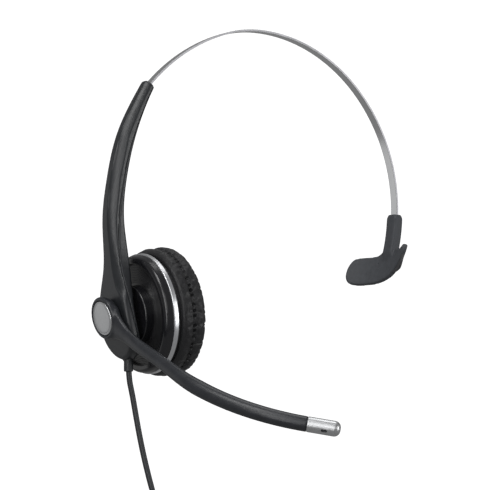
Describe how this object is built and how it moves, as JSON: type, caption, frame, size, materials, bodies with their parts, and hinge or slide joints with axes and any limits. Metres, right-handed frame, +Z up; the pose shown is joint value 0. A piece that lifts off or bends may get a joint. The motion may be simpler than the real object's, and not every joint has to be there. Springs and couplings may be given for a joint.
{
  "type": "office headset",
  "caption": "Corded over-the-head headset with a steel band, one tilting ear cup, a swivelling microphone boom, a temple pad and a tied cord with a quick-disconnect plug.",
  "frame": {"origin": "underside of the steel headband at the crown of the head, midway across its width", "axes": "+X towards the wearer's left (the temple pad), -Y the way the wearer faces (the boom), +Z up; the ear cup is on the wearer's right"},
  "size_m": [0.1701, 0.1413, 0.2994],
  "materials": {
    "spring_steel": "brushed",
    "steel": "plain",
    "inner_plastic": "satin",
    "temple_rubber": "matte, finely mottled",
    "arm_plastic": "satin moulded",
    "boom_rubber": "satin moulded",
    "silver_cap": "satin silver",
    "aluminium_can": "plain",
    "cup_gloss": "glossy",
    "cup_disc": "fine turned grooves",
    "trim_silver": "brushed bright",
    "magnet_iron": "plated",
    "copper_coil": "enamelled wire",
    "film": "thin film",
    "leatherette": "soft grained",
    "scrim_foam": "open foam",
    "board": "board",
    "cord_rubber": "satin",
    "tie_plastic": "matte",
    "plug_plastic": "satin moulded",
    "contact_gold": "plated"
  },
  "bodies": {
    "headband": {"headband_spring": "spring_steel", "band_stop_block": "inner_plastic", "temple_insert": "inner_plastic", "temple_pad": "temple_rubber", "band_rivets": "steel"},
    "arm": {"arm_outer_shell": "arm_plastic", "arm_inner_shell": "arm_plastic", "arm_screws": "steel", "band_detent_spring": "spring_steel", "ball_stud": "steel", "ball_stud_nut": "steel", "boom_friction_washer": "inner_plastic", "strain_relief": "cord_rubber", "cord_drop": "cord_rubber", "cord_tail": "cord_rubber", "cord_coil": "cord_rubber", "coil_tie": "tie_plastic", "plug_strain_relief": "cord_rubber", "plug_body": "plug_plastic", "plug_contacts": "contact_gold"},
    "boom": {"boom_jacket": "boom_rubber", "pivot_cap": "silver_cap", "boom_axle": "steel", "axle_retaining_ring": "steel", "boom_core_wire": "steel", "mic_lead": "cord_rubber", "mic_tip_shell": "silver_cap", "mic_capsule": "aluminium_can", "mic_boot": "cord_rubber"},
    "cup_gimbal": {"socket_liner": "inner_plastic"},
    "ear_cup": {"cup_housing": "cup_gloss", "cup_grooved_disc": "cup_disc", "cup_trim_ring": "trim_silver", "socket_retainer": "inner_plastic", "socket_screws": "steel", "speaker_baffle": "inner_plastic", "speaker_frame": "inner_plastic", "speaker_magnet": "magnet_iron", "speaker_voice_coil": "copper_coil", "speaker_diaphragm": "film", "cushion_mount_ring": "inner_plastic", "ear_cushion": "leatherette", "speaker_scrim": "scrim_foam", "cup_terminal_board": "board"}
  },
  "joints": [
    {"name": "height_slide", "type": "hinge", "parent": "headband", "child": "arm", "pos_m": [0.0707, 0, -0.104], "axis": [0, -1, 0], "range_deg": [0, 9.5]},
    {"name": "boom_pivot", "type": "hinge", "parent": "arm", "child": "boom", "pos_m": [-0.0845, 0, -0.1364], "axis": [-0.9774, 0, -0.2113], "range_deg": [-15, 235]},
    {"name": "cup_tilt", "type": "hinge", "parent": "arm", "child": "cup_gimbal", "pos_m": [-0.06671, 0, -0.1344], "axis": [0, 1, 0], "range_deg": [-6, 6]},
    {"name": "cup_swivel", "type": "hinge", "parent": "cup_gimbal", "child": "ear_cup", "pos_m": [-0.06671, 0, -0.1344], "axis": [-0.1115, 0, 0.9938], "range_deg": [-8, 8]}
  ]
}
